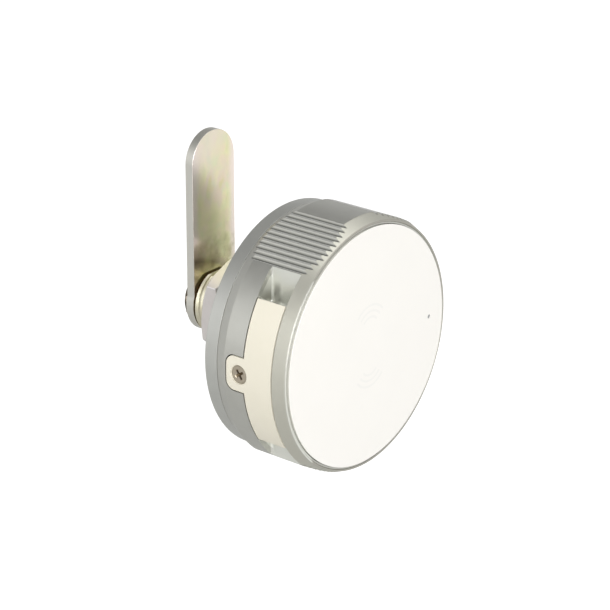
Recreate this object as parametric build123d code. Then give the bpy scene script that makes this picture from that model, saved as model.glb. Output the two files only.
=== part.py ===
"""Electronic cabinet lock: a round knob with a card reader, turning a cam behind the panel.

The origin is the centre of the flange's back face, which lies on the cabinet door.
+Y runs through the door to the cam, -Y to the user, and +Z up along the cam.
"""
import math
import os

from build123d import *

os.makedirs("parts", exist_ok=True)

# Knob and flange, seen from the front as a stack of round steps
knob_radius = 30.2
knob_length = 19.6
back_bevel_depth = 1.3
flange_thickness = 3.4
flange_edge_round = 0.2
spigot_height = 0.6
rim_gap = 0.2
bevel_length = 3.0
front_cone_length = 3.15
front_cone_depth = 0.85
lip_width = 0.4
lip_groove_width = 0.83
lip_groove_depth = 0.3
edge_round = 0.25
shell_wall = 3.0

# Front disc and what lies behind it
disc_thickness = 1.2
disc_gap = 0.12
adhesive_thickness = 0.15
ledge_width = 1.0
ledge_thickness = 0.9
board_thickness = 1.0
board_screw_x = 13.0
board_screw_z = 17.0
board_screw_radius = 0.95
board_screw_head_radius = 1.8
board_screw_head_height = 0.8
board_screw_length = 5.0
post_radius = 2.0
led_place = 22.8
led_size = 1.6
light_hole_radius = 0.5
light_collar_radius = 1.0
coil_radius = 17.4
coil_turns = 2
coil_track = 1.2
coil_thickness = 0.3
chip_size = 7.0
chip_height = 0.9
buzzer_radius = 4.5
buzzer_height = 4.0
buzzer_place = 14.5

# Four ridged finger grips around the knob
grip_angles = (25.5, -25.5, 154.5, -154.5)
grip_depth = 0.65
grip_crown_radius = 83.0
groove_count = 11
groove_pitch = 1.52
groove_width = 1.1
groove_floor_width = 0.36
groove_depth = 0.32

# Side recess with the battery cover
recess_depth = 10.1
recess_front = 3.15
recess_length = 8.15
recess_corner = 1.8
recess_edge_round = 0.7
recess_wall = 1.2
recess_floor_wall = 1.5
cover_half_angle = 34.0
cover_end_gap = 0.3
cover_thickness = 1.5
cover_gap = 0.15
tab_width = 8.1
tab_length = 4.85
tab_corner = 2.0
tab_extra_thickness = 0.55
cover_screw_head_radius = 2.15
cover_screw_head_height = 1.2
cover_screw_sink = 0.25
cover_screw_radius = 0.95
cover_screw_length = 5.0
cover_screw_setback = 1.05
cover_screw_turn = 35.0
insert_radius = 1.48
insert_length = 4.05
screw_boss_radius = 1.95

# Battery
cell_radius = 12.25
cell_thickness = 5.0
cell_cap_step = 1.6
cell_cap_height = 0.4
cell_edge = 0.3
cell_setback = 2.5
tray_wall = 0.5
tray_window_radius = 5.0
tray_setback = 0.8
cell_gap = 0.05
contact_thickness = 0.2
contact_width = 3.0
contact_place = 5.0
contact_room = 1.2
contact_foot = 1.5
contact_run = 5.0
contact_spring = 3.0
contact_tip = 2.0
contact_bend = 0.3

# Inner frame
chassis_wall = 1.2
chassis_gap = 0.1
bay_wall = 2.0
rear_plate_thickness = 0.8
plate_gap = 0.8
boss_radius = 2.3
boss_angles = (60.0, 180.0, -60.0)
boss_overlap = 0.3
plate_screw_radius = 0.95
plate_screw_head_radius = 1.8
plate_screw_length = 4.8

# Lock drive
motor_radius = 2.5
motor_length = 7.0
motor_flat_half = 2.1
motor_nose_radius = 1.1
motor_nose_length = 0.5
motor_bore_depth = 4.2
motor_setback = 1.4
drive_screw_radius = 0.7
bolt_width = 3.6
bolt_height = 2.6
bolt_length = 7.5
bolt_stroke = 2.2
bolt_tip_gap = 0.5
bolt_chamfer = 0.25
bolt_bore_spare = 0.6
notch_gap = 0.2
thread_engagement = 2.0
guide_wall = 1.8
guide_gap = 0.8
cradle_inset = 0.7
run_gap = 0.05
press_gap = 0.02

# Hub, barrel and spindle
hub_radius = 9.0
hub_length = 5.8
hub_plate_gap = 0.4
stop_radius = 11.3
stop_length = 3.4
stop_gap_angle = 1.0
barrel_radius = 7.9
barrel_flat = 7.1
barrel_length = 21.9
neck_depth = 1.1
neck_length = 1.3
spindle_radius = 5.45
spindle_head = 13.0
spindle_head_thickness = 2.0
cam_seat_gap = 0.1
square_width = 7.6
square_setback = 0.2
spindle_corner = 1.0
spindle_screw_radius = 1.2
spindle_screw_head_radius = 2.6
spindle_screw_head_height = 1.0
spindle_screw_depth = 7.0
cam_screw_depth = 15.2
thrust_washer_thickness = 0.45

# Nut, cam and cam screw
nut_wall = 3.1
nut_thickness = 4.2
nut_place = 12.3
nut_turn = 7.7
nut_chamfer_margin = 0.2
cam_width = 14.5
cam_thickness = 2.23
cam_reach = 41.3
cam_heel_radius = 7.7
washer_radius = 7.0
washer_thickness = 0.7
washer_teeth = 12
washer_body_radius = 4.7
washer_hole_gap = 0.3
tooth_twist = 16.0
tooth_rise = 0.3
cam_screw_head_radius = 6.0
cam_screw_head_height = 2.8
cam_screw_rim = 0.9
cam_screw_radius = 2.45

# Places along the axis that follow from the sizes above
knob_back = -(flange_thickness + rim_gap)
knob_front = knob_back - knob_length
disc_back = knob_front + disc_thickness
ledge_front = disc_back + adhesive_thickness
board_front = ledge_front + ledge_thickness
board_back = board_front + board_thickness
recess_y0 = knob_front + recess_front
recess_y1 = recess_y0 + recess_length
cell_middle = (recess_y0 + recess_y1) / 2
cell_front = cell_middle - cell_thickness / 2
cell_back = cell_middle + cell_thickness / 2
tray_front = cell_front - cell_gap - tray_wall
tray_back = cell_back + tray_wall
bay_front = tray_front - cell_gap
bay_back = tray_back + cell_gap
frame_back = bay_back + bay_wall
plate_front = knob_back - plate_gap - rear_plate_thickness
plate_back = plate_front + rear_plate_thickness
hub_front = -(flange_thickness + hub_length)
drive_y = (frame_back + plate_front) / 2
washer_front = hub_front - cam_seat_gap - thrust_washer_thickness
head_front = washer_front - spindle_head_thickness
cam_front = barrel_length + cam_seat_gap
cam_back = cam_front + cam_thickness

# Places across the axis
nut_width = 2 * (barrel_radius + nut_wall)
nut_chamfer_radius = nut_width / 2 + nut_chamfer_margin
flange_radius = knob_radius - back_bevel_depth
lip_radius = knob_radius - front_cone_depth
disc_radius = lip_radius - lip_width - lip_groove_width - disc_gap
recess_floor = knob_radius - recess_depth
inner_radius = knob_radius - shell_wall
chassis_radius = inner_radius - chassis_gap
boss_place = inner_radius - boss_radius + boss_overlap
cover_inner_radius = knob_radius - cover_thickness
tab_floor = cover_inner_radius - tab_extra_thickness
cover_screw_y = recess_y1 + cover_screw_setback
cover_screw_face = -knob_radius + cover_screw_sink
cell_place = -(cover_inner_radius - cell_radius - cell_setback)
tray_half = cell_radius + cell_gap + tray_wall
tray_inner = cell_place + cell_radius + tray_wall
bay_inner = tray_inner + contact_room
bay_half = tray_half + cell_gap
block_face = recess_floor - recess_floor_wall
block_half = math.sqrt(knob_radius**2 - recess_floor**2) + recess_floor_wall
bolt_tip = hub_radius + bolt_tip_gap
bolt_end = bolt_tip + bolt_length
motor_face = bolt_end + motor_setback
motor_end = motor_face + motor_length
screw_tip = bolt_end - bolt_stroke - thread_engagement
guide_half = bolt_width / 2 + guide_wall
guide_near = hub_radius + guide_gap
guide_far = bolt_end + 2 * notch_gap
cradle_near = motor_face + cradle_inset
cradle_far = motor_end - cradle_inset


def slab(sketch, y_front, y_back):
    """Extrude a sketch, drawn as seen from the front with x right and z up, between two depths."""
    return extrude(Plane.XZ.offset(-y_back) * sketch, amount=y_back - y_front)


def disc(radius, y_front, y_back, x=0.0, z=0.0):
    """A round plate or pin along the lock's axis."""
    return slab(Pos(x, z) * Circle(radius), y_front, y_back)


def ring(outer, inner, y_front, y_back):
    """A round plate with a round hole along the lock's axis."""
    return slab(Circle(outer) - Circle(inner), y_front, y_back)


def block(x0, x1, y0, y1, z0, z1):
    """A box given by its sides."""
    middle = Pos((x0 + x1) / 2, (y0 + y1) / 2, (z0 + z1) / 2)
    return middle * Box(x1 - x0, y1 - y0, z1 - z0)


def turned(*points):
    """Turn a closed outline of (radius, y) points about the lock's axis."""
    outline = make_face(Polyline(*points, close=True))
    return revolve(outline, axis=Axis.Y)


def left_of(x, y_back):
    """Everything to the left of x, from the knob's front back to a depth."""
    return block(-2 * knob_radius, x, 2 * knob_front, y_back, -knob_radius, knob_radius)


def rod_z(radius, z0, z1, x=0.0, y=0.0):
    """A round rod along Z."""
    return Pos(x, y, z0) * extrude(Circle(radius), amount=z1 - z0)


def rod_x(radius, x0, x1, y, z=0.0):
    """A round rod along X."""
    return Pos(x0, y, z) * extrude(Plane.YZ * Circle(radius), amount=x1 - x0)


def polar(radius, angle):
    """The (x, z) place at a radius and an angle from the top, clockwise as seen from the front."""
    turn = math.radians(angle)
    return radius * math.sin(turn), radius * math.cos(turn)


def strip(points, thickness, z0, z1):
    """A bent metal strip: a line of (x, y) points with a thickness, as wide as z0 to z1."""
    return extrude(Plane.XY.offset(z0) * trace(Polyline(*points), line_width=thickness), amount=z1 - z0)


def save(shape, name):
    """Write one piece to its own file."""
    shape.label = name
    export_step(shape, "parts/" + name + ".step")


# Outline of the knob

def grip_outline():
    """The knob's round outline with four crowned flats, each with its row of grooves."""
    outline = Circle(knob_radius)
    flat_height = knob_radius - grip_depth
    crown_centre = flat_height - grip_crown_radius
    half = (groove_count - 1) / 2 * groove_pitch
    for angle in grip_angles:
        turn = Rot(0, 0, -angle)
        above = Pos(0, knob_radius) * Rectangle(2 * half + groove_pitch, 4 * grip_depth)
        outline -= turn * (above - Pos(0, crown_centre) * Circle(grip_crown_radius))
        for index in range(groove_count):
            across = index * groove_pitch - half
            crest = crown_centre + math.sqrt(grip_crown_radius**2 - across**2)
            outline -= turn * Pos(across, crest) * groove_profile()
    return outline


def groove_profile():
    """The cut of one groove: sloping sides, a narrow floor, and a little more above the surface."""
    floor = groove_floor_width / 2
    spread = groove_width / 2 - floor
    top = groove_width / 2 + spread / 2
    return make_face(
        Polyline(
            (-floor, -groove_depth),
            (floor, -groove_depth),
            (top, groove_depth / 2),
            (-top, groove_depth / 2),
            close=True,
        )
    )


def cover_sector(outer, half_angle):
    """A pie-shaped piece on the left side, from the axis out."""
    points = [(0, 0)]
    for step in range(5):
        points.append(polar(outer, -90 - half_angle + step * half_angle / 2))
    return make_face(Polyline(*points, close=True))


def tab_sketch(gap):
    """The cover's tab as seen from the left side, with x as depth along the lock and y up."""
    long = tab_length + gap + 2
    width = tab_width + 2 * gap
    start = recess_y1 - cover_gap - 2
    rounded = RectangleRounded(2 * long, width, tab_corner + gap)
    return Pos(start, 0) * rounded & Pos(start + long / 2, 0) * Rectangle(long, width)


def tab_prism(depth_radius, gap):
    """The tab's solid, from a flat floor out past the knob's surface."""
    sketch = tab_sketch(gap)
    return Pos(-depth_radius, 0, 0) * extrude(Plane.YZ * sketch, amount=-10)


def recess_pocket(side):
    """One open finger recess beside the cover, with a flat floor and a rounded inner corner."""
    corner_z = recess_floor * math.tan(math.radians(cover_half_angle))
    out_x, out_z = polar(2 * knob_radius, -90 + cover_half_angle)
    outline = make_face(
        Polyline(
            (-recess_floor, corner_z),
            (out_x, out_z),
            (-recess_floor, out_z),
            close=True,
        )
    )
    corner = outline.vertices().sort_by(Axis.Y)[0]
    outline = fillet(corner, recess_corner)
    pocket = slab(outline, recess_y0, recess_y1)
    pocket = fillet(pocket.faces().sort_by(Axis.Y)[-1].edges(), recess_edge_round)
    if side < 0:
        return mirror(pocket, about=Plane.XY)
    return pocket


# The knob's outer pieces

def knob_shell():
    """The metal knob: ridged grips, front cone and lip, back bevel, side recess and screw bosses."""
    groove_floor = knob_front + lip_groove_depth
    rebate = disc_radius + disc_gap
    solid = turned(
        (0, knob_back),
        (flange_radius, knob_back),
        (knob_radius, knob_back - bevel_length),
        (knob_radius, knob_front + front_cone_length + edge_round),
        (lip_radius, knob_front + edge_round),
        (lip_radius - edge_round / 2, knob_front),
        (lip_radius - lip_width, knob_front),
        (lip_radius - lip_width - edge_round, groove_floor),
        (rebate, groove_floor),
        (rebate, ledge_front),
        (0, ledge_front),
    )
    body = solid & slab(grip_outline(), knob_front - 1, knob_back + 1)
    body -= disc(inner_radius, board_front, knob_back + 1)
    body -= disc(inner_radius - ledge_width, knob_front, knob_back)

    block_back = recess_y1 + recess_wall
    side_block = block(-knob_radius, -block_face, ledge_front, block_back, -block_half, block_half)
    body += side_block & disc(inner_radius + edge_round, ledge_front, knob_back)
    for side in (1, -1):
        body -= recess_pocket(side)
    seat = cover_sector(2 * knob_radius, cover_half_angle) - Circle(cover_inner_radius - cell_gap)
    body -= slab(seat, recess_y0, recess_y1)
    body -= tab_prism(tab_floor - cell_gap, cover_gap)
    body -= block(-2 * knob_radius, bay_inner, bay_front, bay_back, -bay_half, bay_half)

    for angle in boss_angles:
        x, z = polar(boss_place, angle)
        reach = recess_y1 if x < -1 else board_back + 1
        body += disc(boss_radius, reach, plate_front, x, z)
        body -= disc(plate_screw_radius + run_gap, plate_back - plate_screw_length - 1, plate_back, x, z)
    insert_end = -tab_floor + insert_length
    body += rod_x(screw_boss_radius, -tab_floor + cell_gap, insert_end + 1, cover_screw_y)
    return body - rod_x(insert_radius + press_gap, -knob_radius, insert_end + 0.1, cover_screw_y)


def front_disc():
    """The white face plate over the aerial, with a pinhole for the light."""
    plate = disc(disc_radius, knob_front, disc_back)
    plate = chamfer(plate.edges().group_by(Axis.Y)[0], edge_round / 2)
    return plate - disc(light_hole_radius, knob_front - 1, disc_back + 1, led_place)


def disc_adhesive():
    """The sticky ring that holds the face plate on the knob's ledge."""
    inner = inner_radius - ledge_width
    return ring(disc_radius - disc_gap, inner + disc_gap, disc_back, ledge_front)


def light_guide():
    """A clear pin in the pinhole, with a collar behind the face plate."""
    pin = disc(light_hole_radius - run_gap, knob_front + 0.1, disc_back, led_place)
    return pin + disc(light_collar_radius, disc_back, ledge_front, led_place)


def battery_cover():
    """The curved cover over the battery, with a tab that takes its screw."""
    shape = cover_sector(2 * knob_radius, cover_half_angle - cover_end_gap) - Circle(cover_inner_radius)
    plate = slab(shape, recess_y0 + cover_gap, recess_y1 - cover_gap)
    plate += tab_prism(tab_floor, 0)
    plate &= disc(knob_radius, knob_front, knob_back)
    plate -= rod_x(cover_screw_radius + 2 * run_gap, -2 * knob_radius, 0, cover_screw_y)
    plate -= cover_screw_cone(run_gap)
    return plate - rod_x(cover_screw_head_radius + run_gap, -2 * knob_radius, cover_screw_face, cover_screw_y)


def cover_screw_cone(gap):
    """The countersunk head's form under the knob's surface."""
    cone = Cone(cover_screw_head_radius + gap, cover_screw_radius, cover_screw_head_height)
    middle = cover_screw_face + cover_screw_head_height / 2
    return Pos(middle, cover_screw_y, 0) * Rot(0, 90, 0) * cone


def board_screw_places():
    """The (x, z) places of the two screws that hold the board."""
    return [(board_screw_x, side * board_screw_z) for side in (1, -1)]


def cross_recess(width, depth):
    """A cross-shaped driver recess, cut down from Z = 0."""
    arm = Pos(0, 0, -depth / 2) * Box(width, width / 4, depth)
    return arm + Rot(0, 0, 90) * arm


def cover_screw():
    """The countersunk screw in the cover's tab."""
    neck = cover_screw_face + cover_screw_head_height
    end = cover_screw_face + cover_screw_length
    screw = cover_screw_cone(0) + rod_x(cover_screw_radius, neck, end, cover_screw_y)
    place = Pos(cover_screw_face, cover_screw_y, 0) * Rot(0, -90, 0) * Rot(0, 0, cover_screw_turn)
    return screw - place * cross_recess(1.2 * cover_screw_head_radius, 0.75 * cover_screw_head_height)


def cover_insert():
    """The brass threaded insert that the cover's screw bites into."""
    body = rod_x(insert_radius, -tab_floor + cell_gap, -tab_floor + insert_length, cover_screw_y)
    return body - rod_x(cover_screw_radius + press_gap, -knob_radius, 0, cover_screw_y)


# Battery and its tray

def battery_tray():
    """The sliding frame around the coin cell."""
    tray = block(-knob_radius, tray_inner, tray_front, tray_back, -tray_half, tray_half)
    tray &= disc(cover_inner_radius - tray_setback, tray_front, tray_back)
    tray -= disc(cell_radius + cell_gap, tray_front + tray_wall, tray_back + 1, cell_place)
    notch_front = tray_back - 2 * contact_thickness
    notch_end = contact_place + contact_width + 0.4
    notch_start = tray_inner - contact_run - 1
    tray -= block(notch_start, bay_inner, notch_front, tray_back + 1, contact_place - 0.4, notch_end)
    return tray - disc(tray_window_radius, tray_front - 1, tray_back, cell_place)


def coin_cell():
    """The coin cell, with its smaller negative cap to the front."""
    shoulder = cell_front + cell_cap_height
    can = disc(cell_radius, shoulder, cell_back, cell_place)
    can = chamfer(can.edges().group_by(Axis.Y)[-1], cell_edge)
    return can + disc(cell_radius - cell_cap_step, cell_front, shoulder, cell_place)


def negative_contact():
    """The leaf spring from the board to the cell's front."""
    half = contact_thickness / 2
    touch = cell_front - half - press_gap
    points = [
        (cell_place + tray_window_radius + contact_foot, board_back + half),
        (cell_place + tray_window_radius - contact_foot, board_back + half),
        (cell_place, touch),
        (cell_place - contact_tip, touch - contact_bend),
    ]
    return strip(points, contact_thickness, -contact_width / 2, contact_width / 2)


def positive_contact():
    """The leaf on the bay's back wall, with a leg that comes forward to the board."""
    half = contact_thickness / 2
    wall = bay_back - half
    end = (tray_inner + bay_inner) / 2
    touch = end - contact_run - contact_spring
    points = [
        (end, board_back + press_gap),
        (end, wall),
        (end - contact_run, wall),
        (touch, cell_back + half + press_gap),
        (touch - contact_tip, wall),
    ]
    return strip(points, contact_thickness, contact_place, contact_place + contact_width)


# Electronics

def control_board():
    """The round circuit board, cut off straight beside the battery recess."""
    board = disc(inner_radius - 2 * chassis_gap, board_front, board_back)
    board -= left_of(-block_face + 3 * chassis_gap, board_back)
    for x, z in board_screw_places():
        board -= disc(board_screw_radius + chassis_gap, board_front - 1, board_back + 1, x, z)
    return board


def antenna_coil():
    """The flat aerial coil on the front of the board."""
    coil = Sketch()
    for turn in range(coil_turns):
        outer = coil_radius - 2 * turn * coil_track
        coil += Circle(outer) - Circle(outer - coil_track)
    link = 2 * coil_turns * coil_track
    coil += Pos(0, link / 2 - coil_radius + 0.1) * Rectangle(coil_track, link)
    return slab(coil, board_front - coil_thickness, board_front)


def microcontroller():
    """The square control chip."""
    half = chip_size / 2
    return block(-half, half, board_front - chip_height, board_front, -half, half)


def status_led():
    """The light behind the pinhole."""
    half = led_size / 2
    front = ledge_front + press_gap
    return block(led_place - half, led_place + half, front, board_front, -half / 2, half / 2)


def buzzer():
    """The round sounder on the back of the board."""
    end = board_back + buzzer_height
    can = disc(buzzer_radius, board_back, end, buzzer_place)
    return can - disc(0.2 * buzzer_radius, end - 0.5, end + 1, buzzer_place)


def board_screws():
    """The two screws that hold the board on the inner frame."""
    screws = []
    for x, z in board_screw_places():
        shank = disc(board_screw_radius, board_front, board_front + board_screw_length, x, z)
        head = disc(board_screw_head_radius, board_front - board_screw_head_height, board_front, x, z)
        screws.append(shank + head)
    return Compound(children=screws)


# Inner frame and its back plate

def chassis():
    """The moulded inner frame: battery bay in front, lock drive behind."""
    body = ring(chassis_radius, chassis_radius - chassis_wall, board_back, plate_front)
    body += disc(chassis_radius, bay_back, frame_back)
    outer_half = bay_half + chassis_wall
    bay = block(-block_face, bay_inner + chassis_wall, board_back, bay_back, -outer_half, outer_half)
    bay -= block(-knob_radius, bay_inner, bay_front, bay_back, -bay_half, bay_half)
    bay -= block(tray_inner, bay_inner, knob_front, bay_back, -bay_half, bay_half)
    half = contact_width / 2 + tray_wall
    far = cell_place + tray_window_radius + contact_foot + tray_wall
    bay -= block(cell_place - tray_window_radius, far, knob_front, bay_back, -half, half)
    body += bay
    for x, z in board_screw_places():
        body += disc(post_radius, board_back, bay_back, x, z)

    guide = block(-guide_half, guide_half, frame_back, plate_front, guide_near, guide_far)
    cradle = block(-guide_half, guide_half, frame_back, drive_y, cradle_near, cradle_far)
    body += guide + cradle
    half_width = bolt_width / 2 + run_gap
    half_height = bolt_height / 2 + run_gap
    channel = block(-half_width, half_width, drive_y - half_height, drive_y + half_height, 0, motor_face)
    body -= channel & (guide + cradle)
    body -= rod_z(motor_radius + run_gap, motor_face, motor_end + 4 * run_gap, 0, drive_y)

    for angle in boss_angles:
        x, z = polar(boss_place, angle)
        body -= disc(boss_radius + 2 * chassis_gap, board_back - 1, plate_front + 1, x, z)
    body -= left_of(-block_face + 1.5 * chassis_gap, recess_y1 + recess_wall + chassis_gap)
    boss_reach = -tab_floor + insert_length + 1
    body -= rod_x(screw_boss_radius + 2 * chassis_gap, -knob_radius, boss_reach + 0.3, cover_screw_y)
    head_half = spindle_head / 2 + run_gap
    body -= block(-head_half, head_half, head_front, frame_back + 1, -head_half, head_half)
    for x, z in board_screw_places():
        depth = board_front + board_screw_length + 1
        body -= disc(board_screw_radius + press_gap, board_back - 1, depth, x, z)
    return body - spindle_screw_form(chassis_gap)


def rear_plate():
    """The thin plate that closes the back of the knob around the hub."""
    plate = ring(chassis_radius, hub_radius + hub_plate_gap, plate_front, plate_back)
    for angle in boss_angles:
        x, z = polar(boss_place, angle)
        plate -= screw_cone(x, z, run_gap)
    return plate


def screw_cone(x, z, gap):
    """A countersunk head and its shank, flush with the back plate."""
    cone = turned(
        (0, plate_back),
        (plate_screw_head_radius + gap, plate_back),
        (plate_screw_radius + gap, plate_front),
        (plate_screw_radius + gap, plate_back - plate_screw_length),
        (0, plate_back - plate_screw_length),
    )
    return Pos(x, 0, z) * cone


def rear_plate_screws():
    """The screws that close the knob's back."""
    screws = []
    for angle in boss_angles:
        x, z = polar(boss_place, angle)
        recess = Pos(x, plate_back, z) * Rot(-90, 0, 0)
        recess = recess * cross_recess(plate_screw_head_radius, rear_plate_thickness / 2)
        screws.append(screw_cone(x, z, 0) - recess)
    return Compound(children=screws)


# Lock drive

def motor():
    """The small motor's can, with flats, a nose and a bore for its shaft."""
    can = rod_z(motor_radius, motor_face, motor_end, 0, drive_y)
    can &= block(-motor_flat_half, motor_flat_half, knob_front, 0, 0, knob_radius)
    can += rod_z(motor_nose_radius, motor_face - motor_nose_length, motor_face, 0, drive_y)
    return can - rod_z(drive_screw_radius + run_gap, 0, motor_face + motor_bore_depth, 0, drive_y)


def drive_screw():
    """The motor's shaft, whose screw thread moves the bolt."""
    return rod_z(drive_screw_radius, screw_tip, motor_face + motor_bore_depth - notch_gap, 0, drive_y)


def lock_bolt():
    """The sliding bolt that drops into a notch of the hub."""
    half_width = bolt_width / 2
    half_height = bolt_height / 2
    bolt = block(-half_width, half_width, drive_y - half_height, drive_y + half_height, bolt_tip, bolt_end)
    bolt = chamfer(bolt.faces().sort_by(Axis.Z)[0].edges(), bolt_chamfer)
    bore_end = screw_tip - bolt_bore_spare
    return bolt - rod_z(drive_screw_radius + run_gap, bore_end, bolt_end + 1, 0, drive_y)


# Spindle, washer and screws on the axis

def spindle():
    """The spindle: a square head in the knob, a round shaft in the barrel, a square end in the cam."""
    half = spindle_head / 2
    body = block(-half, half, head_front, washer_front, -half, half)
    body = fillet(body.edges().filter_by(Axis.Y), spindle_corner)
    body += disc(spindle_radius, washer_front, cam_front)
    square = Rectangle(square_width, square_width) & Circle(spindle_radius - run_gap)
    body += slab(square, cam_front, cam_back - square_setback)
    body -= disc(cam_screw_radius + run_gap, cam_back - cam_screw_depth - 1, cam_back + 1)
    hole_end = head_front + spindle_screw_depth + 1
    return body - disc(spindle_screw_radius + run_gap, head_front - 1, hole_end)


def spindle_screw_form(gap):
    """The form of the countersunk screw on the axis, with room around it."""
    return turned(
        (0, bay_back),
        (spindle_screw_head_radius + gap, bay_back),
        (spindle_screw_radius + gap, bay_back + spindle_screw_head_height),
        (spindle_screw_radius + gap, head_front + spindle_screw_depth),
        (0, head_front + spindle_screw_depth),
    )


def spindle_screw():
    """The countersunk screw that ties the inner frame to the spindle."""
    recess = Pos(0, bay_back, 0) * Rot(90, 0, 0)
    recess = recess * cross_recess(spindle_screw_head_radius, 0.7 * spindle_screw_head_height)
    return spindle_screw_form(0) - recess


def thrust_washer():
    """The slippery washer between the spindle's head and the hub."""
    outer = bolt_tip - bolt_stroke - 2 * notch_gap
    return ring(outer, spindle_radius + run_gap, washer_front, washer_front + thrust_washer_thickness)


# Fixed pieces

def base_flange():
    """The round casting that lies on the door, with a low step inside the knob's rim."""
    body = disc(flange_radius, -flange_thickness, 0)
    body = chamfer(body.edges().filter_by(GeomType.CIRCLE), flange_edge_round)
    body += disc(inner_radius - spigot_height, -flange_thickness - spigot_height, -flange_thickness)
    return body - disc(hub_radius + press_gap, -2 * flange_thickness, 1)


def lock_barrel():
    """The turned barrel: a hub with two bolt notches in the knob, a flatted thread and a neck behind."""
    body = disc(hub_radius, hub_front, 0)
    thread = Circle(barrel_radius) & Rectangle(4 * barrel_radius, 2 * barrel_flat)
    body += slab(thread, -1, barrel_length - neck_length)
    body += disc(barrel_radius - neck_depth, 0, barrel_length)
    body += slab(stop_sector(), hub_front, hub_front + stop_length)
    body -= disc(spindle_radius + run_gap, hub_front - 1, barrel_length + 1)
    half = bolt_width / 2 + notch_gap
    notch_back = drive_y + bolt_height / 2 + notch_gap
    notch_floor = bolt_tip - bolt_stroke - notch_gap
    notch = block(-half, half, hub_front - 1, notch_back, notch_floor, stop_radius + 1)
    body -= notch
    return body - Rot(0, 90, 0) * notch


def stop_sector():
    """The raised arc that the bolt's guide meets at both ends of the knob's quarter turn."""
    reach = math.degrees(math.atan(guide_half / guide_near)) + stop_gap_angle
    first = 90 + reach
    last = 360 - reach
    points = [(0, 0)]
    steps = 8
    for step in range(steps + 1):
        points.append(polar(2 * stop_radius, first + (last - first) * step / steps))
    return make_face(Polyline(*points, close=True)) & Circle(stop_radius)


def mounting_nut():
    """The flat six-sided nut that clamps the lock to the door."""
    hexagon = RegularPolygon(nut_width / 2, 6, major_radius=False)
    body = slab(Rot(0, 0, 30 - nut_turn) * hexagon, nut_place, nut_place + nut_thickness)
    slope = (nut_width / math.sqrt(3) - nut_chamfer_radius + 1) * math.tan(math.radians(30))
    wide = nut_width / math.sqrt(3) + 1
    cone = turned(
        (0, nut_place),
        (nut_chamfer_radius, nut_place),
        (wide, nut_place + slope),
        (wide, nut_place + nut_thickness - slope),
        (nut_chamfer_radius, nut_place + nut_thickness),
        (0, nut_place + nut_thickness),
    )
    return (body & cone) - disc(barrel_radius + run_gap, nut_place - 1, nut_place + nut_thickness + 1)


# Cam and its fasteners

def cam():
    """The flat steel cam with a round tip and a square hole."""
    half = cam_width / 2
    tip = cam_reach - half
    outline = Circle(cam_heel_radius) + Pos(0, tip / 2) * Rectangle(cam_width, tip)
    outline += Pos(0, tip) * Circle(half)
    outline -= Rectangle(square_width + 0.1, square_width + 0.1) & Circle(spindle_radius)
    return slab(outline, cam_front, cam_back)


def cam_washer():
    """The toothed lock washer behind the cam."""
    front = cam_back + tooth_rise / 2
    body = ring(washer_body_radius, cam_screw_radius + washer_hole_gap, front, front + washer_thickness)
    middle = front + washer_thickness / 2
    tooth_width = math.pi * washer_radius / washer_teeth
    root = 0.9 * washer_body_radius
    for index in range(washer_teeth):
        tooth = Box(tooth_width, 0.6 * washer_thickness, washer_radius - root)
        tooth = Pos(0, 0, (washer_radius + root) / 2) * Rot(0, 0, tooth_twist) * tooth
        body += Pos(0, middle, 0) * Rot(0, index * 360 / washer_teeth, 0) * tooth
    return body


def cam_screw():
    """The domed screw that holds the cam, with a cross recess."""
    seat = cam_back + tooth_rise + washer_thickness
    top = seat + cam_screw_head_height
    rim = seat + cam_screw_rim
    rise = top - rim
    dome_radius = (cam_screw_head_radius**2 + rise**2) / (2 * rise)
    half_turn = math.asin(cam_screw_head_radius / dome_radius) / 2
    middle = (dome_radius * math.sin(half_turn), top - dome_radius * (1 - math.cos(half_turn)))
    dome = make_face(
        [
            Polyline((0, top), (0, seat), (cam_screw_head_radius, seat), (cam_screw_head_radius, rim)),
            ThreePointArc((cam_screw_head_radius, rim), middle, (0, top)),
        ]
    )
    head = revolve(dome, axis=Axis.Y)
    recess = Pos(0, top, 0) * Rot(-90, 0, 0)
    recess = recess * cross_recess(0.8 * cam_screw_head_radius, 0.6 * cam_screw_head_height)
    return head + disc(cam_screw_radius, cam_back - cam_screw_depth, seat) - recess


PIECES = [
    front_disc,
    disc_adhesive,
    light_guide,
    status_led,
    antenna_coil,
    control_board,
    microcontroller,
    buzzer,
    board_screws,
    knob_shell,
    battery_cover,
    cover_screw,
    cover_insert,
    battery_tray,
    coin_cell,
    positive_contact,
    negative_contact,
    chassis,
    motor,
    drive_screw,
    lock_bolt,
    rear_plate,
    rear_plate_screws,
    spindle,
    spindle_screw,
    thrust_washer,
    base_flange,
    lock_barrel,
    mounting_nut,
    cam,
    cam_washer,
    cam_screw,
]

for piece in PIECES:
    save(piece(), piece.__name__)
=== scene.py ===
import math

import bmesh
import bpy
from mathutils import Matrix, Vector


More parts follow.
